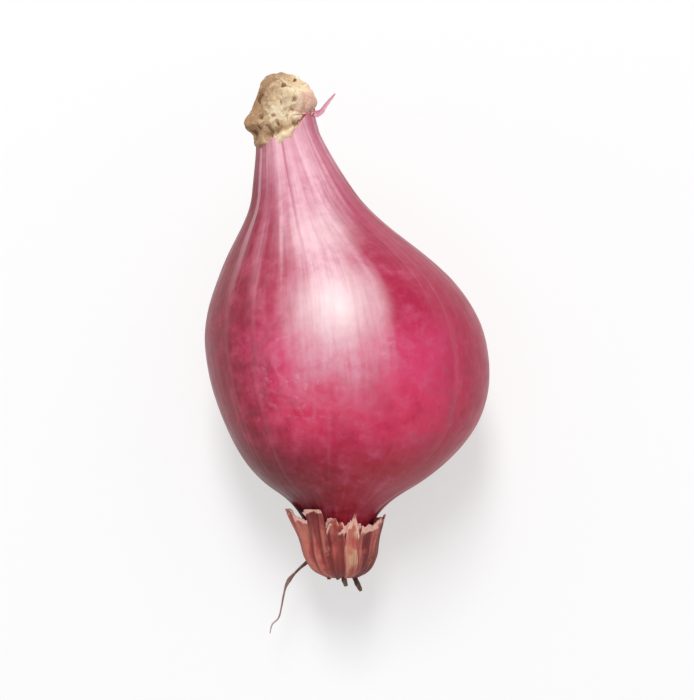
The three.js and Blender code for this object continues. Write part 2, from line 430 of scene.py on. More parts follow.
fine_advance = np.linspace(-2, 8, 201)
way = unit(neck_way + rise(fine_advance, 1, 6)[:, None] * (face_way - neck_way))
middle = np.cumsum(way, axis=0) * (fine_advance[1] - fine_advance[0])
start_row = np.argmin(abs(fine_advance))
line_start = [smooth_through(line_y, line, stump_start) for line in (line_x, line_y, line_z)]
middle += np.array(line_start) - middle[start_row]

flat_advance = advance[:, 0]
ring_middle = np.stack([np.interp(flat_advance, fine_advance, part) for part in middle.T], axis=1)
ring_way = unit(np.stack([np.interp(flat_advance, fine_advance, part) for part in way.T], axis=1))
ring_side = unit(np.cross(ring_way, (0, 0, 1)))
ring_up = np.cross(ring_side, ring_way)
print("stump reaches", round(flat_advance.max(), 1), "mm past the neck")

# %% [markdown]
# A short sheath lip overhangs the pink skin, and the rest of the stump is folded like the leaves
# that it is left from. On the right the lip is missing, and the stump is narrow enough there for the
# living skin to run up over it.

# %% Fold the stump
lip_share = 1 - rise(advance, 0.4, 1.8)
scallops = unevenness(on_circle(stump_angle, 0 * advance, 13, 1))
lip_shift = lip_share * (np.minimum(skin_top(stump_angle) - 30.1, 0.2) + 0.2 * scallops)
under_skin = rise(skin_top(stump_angle) - stump_start - advance, -0.3, 0.4)
under_skin = under_skin * rise(np.cos(stump_angle), -0.1, 0.25)
leaf_base = 1.6 * np.exp(-(((stump_angle - 2.8) / 0.42) ** 2) - ((advance - 1.9) / 1.0) ** 2)
folds = unevenness(on_circle(stump_angle, advance, 13, 9))
creases = np.exp(-((unevenness(on_circle(stump_angle, advance, 11, 5)) / 0.06) ** 2))
creases = creases * rise(stump_radius, 0.6, 2.6)
lumpy_radius = stump_radius + leaf_base + 0.45 * folds * rise(stump_radius, 0.5, 3) * (1 - under_skin)
lumpy_radius = lumpy_radius - 0.75 * under_skin
stump_rings = (
    ring_middle[:, None]
    + (lumpy_radius * np.cos(stump_angle))[..., None] * ring_side[:, None]
    + (lumpy_radius * np.sin(stump_angle) * flattening)[..., None] * ring_up[:, None]
    + lip_shift[..., None] * ring_way[:, None]
)

# %% [markdown]
# A cork stump has no smooth side. Lumps, creases, pits and the groove above the lip are pushed in
# and out along the surface's own direction. How deep each point lies is stored, so that the finish
# can paint shade into the same hollows.

# %% Roughen the stump
bare_share = rise(advance, -0.4, 0.6)
big_lumps = unevenness(stump_rings / (2.6, 3.4, 2.6))
small_lumps = unevenness(stump_rings / (0.9, 1.3, 0.9) + 7, 3)
pits = rise(unevenness(stump_rings / (1.5, 2.0, 1.5) + 31), 0.32, 0.6)
chosen_pits = [(1.95, 2.7), (1.6, 5.3), (1.15, 4.5), (1.75, 6.4), (2.6, 4.6)]  # angle, advance
for pit_angle, pit_advance in chosen_pits:
    beside = 4 * (stump_angle - pit_angle) / 0.45
    pits = pits + np.exp(-(beside**2) - ((advance - pit_advance) / 0.5) ** 2)
groove = rise(np.cos(stump_angle - 2.2), -0.1, 0.6) * np.exp(-(((advance - 1.1) / 0.4) ** 2))
relief = bare_share * (0.3 * big_lumps + 0.14 * small_lumps - 0.28 * pits - 0.4 * groove)
relief = (relief - 0.12 * creases * bare_share) * (1 - under_skin)
stump_rings += outward(stump_rings) * relief[..., None]

sunken = rise(3.0 - stump_radius, 0, 1.2) * rise(advance, 6.4, 6.7)
in_folds = rise(-folds, 0.1, 0.55) * bare_share
# How deep each point lies, which the finish turns into painted shade.
hollow = 0.7 * groove + 0.8 * pits + 0.2 * sunken + 0.2 * in_folds + 0.35 * creases * bare_share
hollow = np.clip(hollow - 0.4 * small_lumps, 0, 1)
side = np.cos(stump_angle) * rise(stump_radius, 0.5, 3)
ring_piece("stump_cork", stump_rings, {"hollow": hollow, "side": side}, "dry_neck")

# %% [markdown]
# Beside the stump a narrow strip of skin has torn loose and stands off the neck. It is a thin sheet
# along a bent line, and it narrows to a point, because skin tears along its own fibres. It stores
# one place of the neck for all its points, so that the finish gives it the colour of the neck there.

# %% Shape the torn strip
strip_line = curve_through([
    (-4.9, 32.9, 1.6), (-4.0, 32.5, 2.0), (-3.5, 32.7, 2.3), (-2.7, 33.7, 2.5), (-1.5, 35.2, 2.4),
], 60)
strip_way = unit(np.gradient(strip_line, axis=0))
strip_side = unit(np.cross(strip_way, (0.2, 0.1, 1)))
strip_face = np.cross(strip_side, strip_way)
strip_length = np.linspace(0, 1, 60)[:, None]
strip_width = 0.42 * (1 - strip_length) ** 0.7 + 0.06
strip_across = np.linspace(-1, 1, 9)
strip_edge = 1 + 0.25 * unevenness(on_circle(strip_across, 60 * strip_length, 9, 4))
strip_offset = (strip_across * strip_width * strip_edge)[..., None] * strip_side[:, None]
strip_cup = (0.12 * strip_across**2 * np.ones_like(strip_length))[..., None] * strip_face[:, None]
strip_outer = strip_line[:, None] + strip_offset + strip_cup
strip_inner = strip_outer + 0.12 * strip_face[:, None]
strip_grain = np.broadcast_to((0.6, 0.8, 1.5), strip_outer.shape)
sheet_piece("torn_strip", strip_outer, strip_inner, {"grain": strip_grain})

# %% [markdown]
# The root plate is the short corky disc that the roots grow from. Most of it is hidden in the pouch
# of dry skin, but it shows where the pouch is torn low and from below. Its upper end flares to meet
# the belly, and its lower end is rough with the scars of roots that have dropped off.

# %% Shape the root plate
plate_outline = curve_through([
    (0.4, -28.3), (1.8, -28.6), (2.9, -28.2), (3.5, -27.2), (3.6, -26.2), (3.5, -25.0), (2.8, -24.2),
], 90)
plate_angle = np.linspace(0, 2 * math.pi, 160, endpoint=False)
plate_radius, plate_y = (part[:, None] for part in plate_outline.T)
plate_rings = round_axis(plate_angle, plate_radius, plate_y)
cork_share = rise(-plate_y, 24, 25.5)
scars = rise(unevenness(plate_rings / 0.8 + 11), 0.1, 0.4)
plate_relief = cork_share * (0.25 * unevenness(plate_rings / 1.2, 3) + 0.22 * scars)
plate_relief = plate_relief + 0.12 * unevenness(on_circle(plate_angle, plate_y, 40, 6))
plate_rings += outward(plate_rings) * plate_relief[..., None]
plate_values = {"cork": cork_share, "scar": scars * cork_share}
ring_piece("plate_cork", plate_rings, plate_values, "root_plate")

# %% [markdown]
# Round the root plate the oldest skins have dried, split and turned back into a ragged pouch. Each
# flake is a thin sheet of its own. It follows one shared outline, but its rim is torn: it has a
# highest point and falls away to both sides in teeth, and its sides draw in a little towards the
# rim, so that slits open between neighbours. Folds and finer fibres run from the root end to the rim.

# %% One flake of dry skin
pouch = curve_through([
    (1.9, -30.2), (3.7, -29.2), (4.75, -27.4), (5.2, -25.3), (6.0, -22.9), (6.9, -20.9),
], 200)
pouch_length = np.linalg.norm(np.diff(pouch, axis=0), axis=1).sum()
sheet_thickness = 0.14


def skin_flake(name, first, last, reach, peak, fall, layer, tone, flare=0.0, replaced=None):
    """A torn flake between two angles in degrees. Its rim reaches a share of the pouch's length at
    its peak and falls away to both sides. Layers count outwards in millimetres, a high tone is
    pale, and a flare bends the rim out."""
    across = np.linspace(0, 1, 80)
    up = np.linspace(0, 1, 80)[:, None]
    flat, seed = 0 * across, 1.7 * first
    ragged = unevenness(np.stack([across * (last - first) / 14, flat + seed, flat], axis=-1), 2)
    frayed = unevenness(np.stack([across * (last - first) / 3, flat + seed, flat + 5], axis=-1), 2)
    away = abs(across - peak) / max(peak, 1 - peak)
    rim = reach - fall * away**1.4 + 0.12 * ragged - 0.07 * abs(frayed)
    share = 0.01 + up * (rim - 0.01)
    middle_angle, half = (first + last) / 2, (last - first) / 2
    wander = unevenness(np.stack([0 * up[:, 0], up[:, 0] * 4, 0 * up[:, 0] + seed], axis=-1))
    narrowing = 1 - 0.12 * rise(up, 0.5, 1)
    angle = middle_angle + half * (2 * across - 1) * narrowing + 3 * wander[:, None]
    angle = np.radians(angle)
    radius = np.interp(share, np.linspace(0, 1, 200), pouch[:, 0])
    y = np.interp(share, np.linspace(0, 1, 200), pouch[:, 1])
    fibres = unevenness(on_circle(angle, y + seed, 75, 12))
    flutes = unevenness(on_circle(angle, y, 22, 14))
    curl = unevenness(on_circle(angle, y + seed, 9, 6)) * rise(up, 0.6, 1)
    radius = radius + layer + 0.12 * fibres + 0.55 * flutes * (0.35 + 0.65 * up) + 0.6 * curl
    radius = radius + flare * rise(up, 0.45, 1) ** 2
    outer = round_axis(angle, radius, y)
    inner = round_axis(angle, radius - sheet_thickness * (1 + 1.4 * rise(up, 0.8, 0.97)), y)
    torn = 1 - rise((rim - share) * pouch_length, 0.1, 1.5)
    values = {"torn": torn, "strand": grain_at(angle, y), "tone": tone, "flute": flutes}
    sheet_piece(name, outer, inner, values, replaced)


# %% [markdown]
# Eight flakes stand round the plate, and each lies a little over or under the next. On the side that
# faces up one of them has torn low. Two more flakes stand inside, where an older skin shows in the
# gaps.

# %% The pouch of dry skin
# first and last angle, reach, peak, fall, layer, tone, flare
outer_flakes = [
    (-20, 66, 0.88, 0.3, 0.1, 0.1, 0.1),
    (62, 83, 0.97, 0.45, 0.3, 0.24, 0.9),
    (80, 116, 0.76, 0.45, 0.03, 0.02, 0.35),
    (108, 136, 1.06, 0.5, 0.08, 0.2, 0.5),
    (128, 202, 1.06, 0.72, 0.14, 0.05, 0.5, 0.35),
    (196, 262, 0.84, 0.5, 0.12, 0.2, 0.5),
    (250, 306, 0.96, 0.6, 0.2, 0.0, 0.3, 0.5),
    (294, 350, 0.9, 0.4, 0.15, 0.2, 0.5),
]
for number, torn_shape in enumerate(outer_flakes, 1):
    skin_flake(f"dry_flake_{number}", *torn_shape, replaced=f"skin_flake_{number}")
inner_flakes = [(52, 132, 0.88, 0.4, 0.06, -0.3, 0.3), (190, 300, 0.9, 0.5, 0.08, -0.3, 0.2)]
for number, torn_shape in enumerate(inner_flakes, 1):
    skin_flake(f"dry_flake_inner_{number}", *torn_shape)

# %% [markdown]
# Old roots are brittle threads. All are tubes along a bent line, whose thickness changes unevenly,
# and they pale towards the thin end.

# %% One root
def root_thread(name, points, thickness, count, paling, replaced):
    """A root along a line, as thick as the numbers say at even steps from its start to its end."""
    line = curve_through(points, count)
    way = unit(np.gradient(line, axis=0))
    side = unit(np.cross(way, (0.3, 0, 1)))
    up = np.cross(side, way)
    angle = np.linspace(0, 2 * math.pi, 20, endpoint=False)
    along = np.linspace(0, 1, count)
    radius = np.interp(along, np.linspace(0, 1, len(thickness)), thickness)[:, None]
    ridges = unevenness(on_circle(angle, along[:, None] * 40 + points[0][0], 6, 3))
    radius = radius * (1 + 0.18 * ridges)
    rings = line[:, None] + (radius * np.cos(angle))[..., None] * side[:, None]
    rings = rings + (radius * np.sin(angle))[..., None] * up[:, None]
    values = {"thin_end": paling * along[:, None], "ridge": ridges}
    ring_piece(name, rings, values, replaced)


# %% [markdown]
# One root is still whole. It leaves the pouch thick and dark, has a small knot where a side root
# broke off, and curls as it thins. Four others have snapped off, at different lengths.

# %% The long root and the stubs
long_line = [
    (-3.2, -26.4, -1.9), (-3.8, -27.0, -2.35), (-4.95, -27.9, -3.1), (-6.7, -29.4, -3.4),
    (-8.1, -31.2, -3.3), (-8.5, -32.6, -3.2), (-8.8, -34.2, -3.2), (-9.3, -35.9, -3.5),
    (-10.1, -36.7, -3.8), (-10.4, -37.9, -3.9),
]
long_thickness = [0.5, 0.55, 0.34, 0.2, 0.17, 0.3, 0.15, 0.13, 0.12, 0.11, 0.1, 0.06]
root_thread("thread_long", long_line, long_thickness, 150, 1.0, "root_long")

stub_starts = [(0.3, 1.3), (1.5, 0.1), (-1.4, 0.6), (-0.4, -1.4)]  # beside and above the line
stub_reaches = [(0.3, -2.5, 0.3), (1.1, -3.2, 0.1), (-0.3, -1.6, 0.2), (-0.1, -1.7, -0.5)]
stub_thickness = [0.42, 0.4, 0.42, 0.33, 0.36, 0.22]
stub_y = -28.75
stub_bend = np.array([-0.2, 0, 0.15])
for number, ((start_x, start_z), stub_reach) in enumerate(zip(stub_starts, stub_reaches), 1):
    line_shift = smooth_through(line_y, line_x, stub_y)
    stub_start = np.array([start_x + line_shift, stub_y, start_z])
    stub_reach = np.array(stub_reach)
    bend = stub_start + stub_reach / 2 + stub_bend
    stub_line = [stub_start + (0, 0.9, 0), stub_start, bend, stub_start + stub_reach]
    root_thread(f"thread_stub_{number}", stub_line, stub_thickness, 44, 0.3, f"root_stub_{number}")

# %% [markdown]
# Every finish is a small network of nodes. A few short helpers keep the networks readable. The first
# ones add a node, join its sockets and wrap a network into a material. Colours are written as the
# eye sees them and turned into light values once.

# %% Nodes, colours and materials
def seen(red, green, blue):
    """A colour from its 0 to 255 numbers, as light values."""
    parts = (part / 255 for part in (red, green, blue))
    return tuple(p / 12.92 if p <= 0.04045 else ((p + 0.055) / 1.055) ** 2.4 for p in parts) + (1,)


def set_sockets(tree, node, sockets):
    """Joins each socket to another node's output, or sets it to a plain number or colour."""
    for key, value in dict(sockets).items():
        if isinstance(value, bpy.types.NodeSocket):
            tree.links.new(value, node.inputs[key])
        else:
            node.inputs[key].default_value = value


def add(tree, kind, sockets=(), **settings):
    made = tree.nodes.new("ShaderNode" + kind)
    for key, value in settings.items():
        setattr(made, key, value)
    set_sockets(tree, made, sockets)
    return made


def finish(name, surface):
    """A material whose skin is described by a function that fills in its tree."""
    material = bpy.data.materials.new(name)
    material.use_nodes = True
    tree = material.node_tree
    tree.nodes.clear()
    shader = add(tree, "BsdfPrincipled")
    made = surface(tree, shader) or shader.outputs["BSDF"]
    add(tree, "OutputMaterial", {"Surface": made})
    print(name, "uses", len(tree.nodes), "nodes")
    return material


# %% [markdown]
# Patterns need a place to be read at: one stored on the points, the place on the piece in
# millimetres, or either of them stretched, so that spots become streaks. Noise read at such a place
# gives clouds and specks, and the places where it crosses its middle value give fine branching
# lines. A few sums turn any of them into a soft share from 0 to 1.

# %% Places and patterns
def stored(tree, name):
    return add(tree, "Attribute", attribute_name=name)


def place(tree, scale):
    """Places on the piece, in units of so many millimetres."""
    where = add(tree, "TexCoord").outputs["Object"]
    return add(tree, "VectorMath", {0: where, 1: (1000 / scale,) * 3}, operation="MULTIPLY").outputs[0]


def stretched(tree, where, factors):
    return add(tree, "VectorMath", {0: where, 1: factors}, operation="MULTIPLY").outputs[0]


def speckle(tree, where, detail=2.0, roughness=0.5, distortion=0.0):
    sockets = {"Vector": where, "Scale": 1.0, "Detail": detail, "Roughness": roughness}
    return add(tree, "TexNoise", {**sockets, "Distortion": distortion}).outputs["Fac"]


def between(tree, value, low, high, start=0.0, end=1.0):
    """Climbs smoothly from start to end while value goes from low to high."""
    sockets = {"Value": value, "From Min": low, "From Max": high, "To Min": start, "To Max": end}
    return add(tree, "MapRange", sockets, interpolation_type="SMOOTHSTEP").outputs["Result"]


def sums(tree, kind, first, second=0.0):
    return add(tree, "Math", {0: first, 1: second}, operation=kind).outputs[0]


def product(tree, *values):
    total = values[0]
    for value in values[1:]:
        total = sums(tree, "MULTIPLY", total, value)
    return total


def near(tree, spot, reach):
    """1 at a spot given in the bulb's own frame, fading to 0 at so many millimetres from it."""
    middle = tuple(1000 * laid_down(np.array(spot, float)))
    distance = add(tree, "VectorMath", {0: place(tree, 1.0), 1: middle}, operation="DISTANCE")
    return between(tree, distance.outputs["Value"], reach, 0.0)


def ridge(tree, value, width):
    """Thin lines where a noise crosses its middle value."""
    distance = sums(tree, "ABSOLUTE", sums(tree, "SUBTRACT", value, 0.5))
    return between(tree, distance, 0.0, width, 1.0, 0.0)


# %% [markdown]
# A pattern then becomes a share, a colour or a relief. Most finishes below start from a ramp of
# ground colours and lay one soft share of another colour over the next.

# %% Ramps, blends and relief
def ramp(tree, value, stops):
    """Colours in order along a value from 0 to 1."""
    made = add(tree, "ValToRGB", {"Fac": value})
    made.color_ramp.interpolation = "EASE"
    elements = made.color_ramp.elements
    elements[0].position, elements[1].position = stops[0][0], stops[-1][0]
    for position, _ in stops[1:-1]:
        elements.new(position)
    for element, (_, colour) in zip(elements, stops):
        element.color = colour
    return made.outputs["Color"]


def blend(tree, share, under, over):
    return add(tree, "Mix", {0: share, 6: under, 7: over}, data_type="RGBA").outputs[2]


def relief_of(tree, height, depth):
    """Turns a height from 0 to 1 into a relief so many millimetres deep."""
    sockets = {"Height": height, "Strength": 1.0, "Distance": depth / 1000}
    return add(tree, "Bump", sockets).outputs["Normal"]


# %% [markdown]
# The fresh skin is the looks of the bulb, and it is built up in four steps. The first is its ground
# colour, which depends on the height along the bulb: pale rose on the stretched neck, crimson on the
# belly, almost wine-red at the root end, which is partly the skin's own colour and partly painted
# shade. Soft clouds lie over that. Both flanks are darkened with painted shade, browner on the left
# and a deeper red on the right, and the root end's left side takes more painted shade.

# %% Step one, the ground colour and the painted shade
def share_of_length(tree, height):
    """The height along the bulb as a share, from the root end at 0 to the neck's end at 1."""
    low, high = root_end_y / height_unit, neck_end_y / height_unit
    return add(tree, "MapRange", {"Value": height, "From Min": low, "From Max": high}).outputs["Result"]


def skin_ground(tree, right, top, height, patches, clouds):
    reach = sums(tree, "ADD", share_of_length(tree, height), product(tree, top, 0.04))
    # Towards the root end the ground darkens: partly the skin's own colour, partly painted shade.
    ground = ramp(tree, reach, [
        (0.02, seen(158, 26, 36)), (0.12, seen(174, 30, 46)), (0.26, seen(226, 62, 100)),
        (0.42, seen(218, 62, 108)), (0.58, seen(176, 40, 74)), (0.72, seen(162, 46, 74)),
        (0.86, seen(172, 76, 98)), (0.97, seen(216, 146, 156)),
    ])
    skin = blend(tree, between(tree, patches, 0.35, 0.7, 0.0, 0.35), ground, seen(176, 26, 72))
    skin = blend(tree, between(tree, clouds, 0.45, 0.8, 0.0, 0.4), skin, seen(224, 116, 150))
    skin = blend(tree, between(tree, clouds, 0.5, 0.2, 0.0, 0.4), skin, seen(158, 22, 50))
    side_edge = sums(tree, "ADD", right, between(tree, clouds, 0.3, 0.7, -0.1, 0.1))
    # Painted shade: the left flank darker and browner, the right flank a deeper red, the root end's left
    # side darker still.
    left_flank_shade = product(tree, between(tree, side_edge, -0.35, -1.0), 0.85)
    skin = blend(tree, left_flank_shade, skin, seen(114, 20, 28))
    right_flank_shade = product(tree, between(tree, side_edge, 0.5, 1.0), 0.7)
    skin = blend(tree, right_flank_shade, skin, seen(150, 20, 46))
    root_end_shade = product(tree, between(tree, side_edge, 0.2, -0.6), between(tree, height, -0.4, -0.9), 0.6)
    return blend(tree, root_end_shade, skin, seen(84, 14, 20))


# %% [markdown]
# Along the top the skin is thinnest, and a pale band runs there from the neck down to the belly; it is
# partly the skin's own paleness and partly a painted highlight. Two soft patches of painted highlight
# lie on it, and a few single veins run beside it. Streaks and spots break the band and the veins up,
# because an even edge would look sprayed on.

# %% Step two, the pale band, the painted highlight and the veins
def pale_band(tree, skin, right, top, height, patches, wander, broken):
    band_middle = between(tree, height, 0.7, 1.4, 0.1, -0.19)
    off_band = sums(tree, "ABSOLUTE", sums(tree, "ADD", right, band_middle))
    off_band = sums(tree, "ADD", off_band, between(tree, wander, 0.3, 0.7, -0.1, 0.1))
    band_width = between(tree, height, 0.7, 1.45, 0.4, 1.0)
    across_band = sums(tree, "DIVIDE", off_band, band_width)
    band = product(tree, between(tree, across_band, 1.4, 0.2), between(tree, top, 0.0, 0.3))
    band_end = sums(tree, "ADD", height, between(tree, patches, 0.3, 0.7, -0.1, 0.1))
    band = product(tree, band, between(tree, band_end, -0.52, 0.25), broken)
    # The band's colour is partly the thin skin's own paleness and partly a painted highlight.
    return blend(tree, band, skin, seen(234, 178, 194))


# Two pale patches painted where the lamp's gleam falls on the belly: a painted highlight.
highlight_patches = [((-3.6, 15.5, 11), 7.5, 0.5), ((-1.4, 5.8, 17.8), 8.8, 0.85)]  # place, reach, share


def painted_highlight(tree, skin, streaks):
    for spot, reach, share in highlight_patches:
        highlight_share = product(tree, near(tree, spot, reach), between(tree, streaks, 0.3, 0.6, 0.8, 1.0), share)
        skin = blend(tree, highlight_share, skin, seen(252, 230, 230))
    return skin


single_veins = [(-0.84, 0.2), (-0.66, 0.2), (-0.43, 0.5), (0.2, 0.3)]  # how far right, share


def pale_veins(tree, skin, right, top, height, wander, broken):
    for meridian, share in single_veins:
        off_vein = sums(tree, "ABSOLUTE", sums(tree, "SUBTRACT", right, meridian))
        off_vein = sums(tree, "ADD", off_vein, between(tree, wander, 0.3, 0.7, -0.03, 0.03))
        vein = product(tree, between(tree, off_vein, 0.06, 0.0), broken)
        vein = product(tree, vein, between(tree, height, 0.0, 0.8), share)
        vein = product(tree, vein, between(tree, top, 0.0, 0.3))
        skin = blend(tree, vein, skin, seen(246, 204, 216))
    return skin


# %% [markdown]
# Fine darker and paler lines follow the skin's own fibres. They are faint on the belly and strong on
# the neck, where they crowd together. On top of the belly the outermost skin has dried and let go in
# a broken pale net with small flecks.

# %% Step three, the fibre lines and the dry net
def fibre_lines(tree, skin, strand, fine, stripe_share):
    coarse = speckle(tree, stretched(tree, strand, (3.6, 3.6, 0.3)), 1.0, 0.5)
    dark_stripes = product(tree, between(tree, coarse, 0.52, 0.3), stripe_share, 0.6)
    skin = blend(tree, dark_stripes, skin, seen(190, 80, 112))
    dark_lines = product(tree, between(tree, fine, 0.5, 0.3), stripe_share, 0.5)
    skin = blend(tree, dark_lines, skin, seen(182, 70, 102))
    pale_lines = product(tree, between(tree, fine, 0.52, 0.74), stripe_share, 0.4)
    return blend(tree, pale_lines, skin, seen(240, 186, 202))


def dry_net(tree, skin):
    web = ridge(tree, speckle(tree, place(tree, 2.8), 2.0, 0.5), 0.14)
    web_part = sums(tree, "ADD", near(tree, (-5, -3, 16), 10.0), near(tree, (3, 0, 17), 6.0))
    web = product(tree, web, sums(tree, "ADD", web_part, 0.15), 0.26)
    skin = blend(tree, web, skin, seen(232, 150, 174))
    flecks = between(tree, speckle(tree, place(tree, 1.1), 3.0, 0.6), 0.56, 0.72)
    flecks = product(tree, flecks, sums(tree, "ADD", web_part, 0.1), 0.45)
    return blend(tree, flecks, skin, seen(236, 158, 180))


# %% [markdown]
# The last step lays all of that over each other, with a shallow relief of fine ribs. The skin is
# glossy, but not like glass.

# %% Step four, finish for the fresh skin
def fresh_skin(tree, shader):
    strand = stored(tree, "grain").outputs["Vector"]
    right, top, height = add(tree, "SeparateXYZ", {0: strand}).outputs
    patches = speckle(tree, place(tree, 7.0), 3.0, 0.5)
    clouds = speckle(tree, place(tree, 2.4), 4.0, 0.6)
    spots = speckle(tree, place(tree, 1.3), 3.0, 0.6)
    wander = speckle(tree, stretched(tree, strand, (3.0, 3.0, 1.0)), 3.0, 0.6)
    streaks = speckle(tree, stretched(tree, strand, (16.0, 16.0, 1.6)), 3.0, 0.65)
    fine = speckle(tree, stretched(tree, strand, (10.0, 10.0, 0.5)), 2.0, 0.5)
    broken = product(
        tree, between(tree, streaks, 0.32, 0.58, 0.62, 1.0), between(tree, spots, 0.35, 0.6, 0.72, 1.0)
    )
    stripe_share = between(tree, height, 0.1, 1.2, 0.15, 1.0)

    skin = skin_ground(tree, right, top, height, patches, clouds)
    skin = pale_band(tree, skin, right, top, height, patches, wander, broken)
    skin = painted_highlight(tree, skin, streaks)
    skin = pale_veins(tree, skin, right, top, height, wander, broken)
    skin = fibre_lines(tree, skin, strand, fine, stripe_share)
    skin = dry_net(tree, skin)

    ribs = product(tree, sums(tree, "ADD", fine, streaks), sums(tree, "MAXIMUM", stripe_share, 0.4))
    bumps = sums(tree, "ADD", ribs, product(tree, clouds, 0.5))
    gloss = between(tree, clouds, 0.3, 0.75, 0.32, 0.42)
    set_sockets(tree, shader, {
        "Base Color": skin, "Roughness": gloss, "Normal": relief_of(tree, bumps, 0.06),
        "Specular IOR Level": 0.17,
    })


fresh = finish("fresh_skin_finish", fresh_skin)

# %% [markdown]
# The stump is dull and dry. Cream and tan alternate in soft patches, and the deep places are painted
# brown as shade. The left side is painted darker brown as shade, and the side that still holds skin
# fades into pink. The painted shade follows the same hollows that the mesh has, so light and paint
# agree.

# %% Finish for the stump
def stump_cork(tree, shader):
    hollow = stored(tree, "hollow").outputs["Fac"]
    to_side = stored(tree, "side").outputs["Fac"]
    patches = speckle(tree, place(tree, 2.4), 3.0, 0.6)
    cork = ramp(tree, patches, [
        (0.3, seen(212, 178, 140)), (0.45, seen(230, 204, 166)), (0.62, seen(248, 230, 196)),
    ])
    specks = speckle(tree, place(tree, 0.55), 3.0, 0.65)
    left_shade_and_pink_side = sums(tree, "ADD", to_side, between(tree, specks, 0.3, 0.7, -0.25, 0.25))
    # Painted shade darkens the left side; the skin's own pink colours the right side.
    cork = blend(tree, between(tree, left_shade_and_pink_side, -0.3, -0.85, 0.0, 0.8), cork, seen(152, 108, 74))
    cork = blend(tree, between(tree, left_shade_and_pink_side, 0.2, 0.9, 0.0, 0.75), cork, seen(232, 182, 166))
    cork = blend(tree, between(tree, specks, 0.58, 0.72, 0.0, 0.6), cork, seen(158, 134, 92))
    cork = blend(tree, between(tree, specks, 0.42, 0.3, 0.0, 0.5), cork, seen(244, 228, 196))
    # Painted shade: darker brown in the hollows, darkest in the deepest ones.
    cork = blend(tree, between(tree, hollow, 0.35, 0.75, 0.0, 0.75), cork, seen(168, 130, 98))
    cork = blend(tree, between(tree, hollow, 0.65, 1.0, 0.0, 0.8), cork, seen(108, 82, 54))
    set_sockets(tree, shader, {
        "Base Color": cork, "Roughness": between(tree, specks, 0.3, 0.7, 0.75, 0.95),
        "Normal": relief_of(tree, specks, 0.16), "Specular IOR Level": 0.25,
    })


stump_finish = finish("dry_stump_finish", stump_cork)

# %% [markdown]
# Where it meets the belly the root plate still has the colour of the deepest skin. Towards its end
# it turns to brown cork with paler scars.

# %% Finish for the root plate
def plate_cork(tree, shader):
    cork_part = stored(tree, "cork").outputs["Fac"]
    scar = stored(tree, "scar").outputs["Fac"]
    specks = speckle(tree, place(tree, 0.7), 3.0, 0.65)
    flesh = blend(tree, between(tree, specks, 0.35, 0.65), seen(96, 18, 26), seen(132, 36, 44))
    brown = blend(tree, between(tree, specks, 0.35, 0.65), seen(92, 58, 44), seen(142, 98, 72))
    plate_colour = blend(tree, cork_part, flesh, brown)
    plate_colour = blend(tree, sums(tree, "MULTIPLY", scar, 0.7), plate_colour, seen(186, 146, 110))
    set_sockets(tree, shader, {
        "Base Color": plate_colour, "Roughness": between(tree, specks, 0.3, 0.7, 0.65, 0.9),
        "Normal": relief_of(tree, specks, 0.14), "Specular IOR Level": 0.3,
    })


plate_finish = finish("corky_plate_finish", plate_cork)

# %% [markdown]
# Dry skin is brown-red paper. Its fibres show as salmon and tan lines from root end to rim, each
# flake has a ground tone of its own, and wherever it is torn the broken layers are cream and pink.

# %% Finish for the dry flakes
def papery_skin(tree, shader):
    strand = stored(tree, "strand").outputs["Vector"]
    torn = stored(tree, "torn").outputs["Fac"]
    tone = stored(tree, "tone").outputs["Fac"]
    flute = stored(tree, "flute").outputs["Fac"]
    drift = speckle(tree, place(tree, 2.2), 3.0)
    toned = sums(tree, "ADD", tone, between(tree, drift, 0.3, 0.7, -0.3, 0.3))
    paper = ramp(tree, toned, [
        (0.0, seen(120, 36, 40)), (0.35, seen(166, 76, 70)), (0.6, seen(192, 92, 84)),
        (0.8, seen(200, 120, 102)), (1.0, seen(212, 162, 130)),
    ])
    # Painted shade darkens the hollows of the flutes, and painted light pales their crests.
    paper = blend(tree, between(tree, flute, 0.0, -0.45, 0.0, 0.7), paper, seen(112, 38, 42))
    paper = blend(tree, between(tree, flute, 0.1, 0.5, 0.0, 0.5), paper, seen(208, 124, 110))
    fibres = speckle(tree, stretched(tree, strand, (9.0, 9.0, 1.6)), 3.0, 0.6)
    paper = blend(tree, between(tree, fibres, 0.52, 0.7, 0.0, 0.6), paper, seen(208, 128, 112))
    paper = blend(tree, between(tree, fibres, 0.46, 0.32, 0.0, 0.5), paper, seen(124, 44, 46))
    threads = speckle(tree, stretched(tree, strand, (26.0, 26.0, 1.6)), 2.0, 0.6)
    paper = blend(tree, between(tree, threads, 0.6, 0.74, 0.0, 0.35), paper, seen(226, 176, 146))
    specks = speckle(tree, place(tree, 0.9), 3.0)
    chips = speckle(tree, place(tree, 2.0), 2.0)
    worn = sums(tree, "ADD", torn, between(tree, specks, 0.35, 0.65, -0.35, 0.1))
    worn = sums(tree, "ADD", worn, between(tree, chips, 0.4, 0.6, -0.45, 0.3))
    paper = blend(tree, between(tree, worn, 0.3, 0.7, 0.0, 0.95), paper, seen(240, 190, 174))
    bumps = sums(tree, "ADD", fibres, sums(tree, "MULTIPLY", threads, 0.5))
    set_sockets(tree, shader, {
        "Base Color": paper, "Roughness": between(tree, drift, 0.3, 0.7, 0.5, 0.7),
        "Normal": relief_of(tree, bumps, 0.15), "Specular IOR Level": 0.35,
    })


paper_finish = finish("papery_skin_finish", papery_skin)

# %% [markdown]
# A dry root is dark brown where it is thick and pales to a greyish pink thread where it is thin.

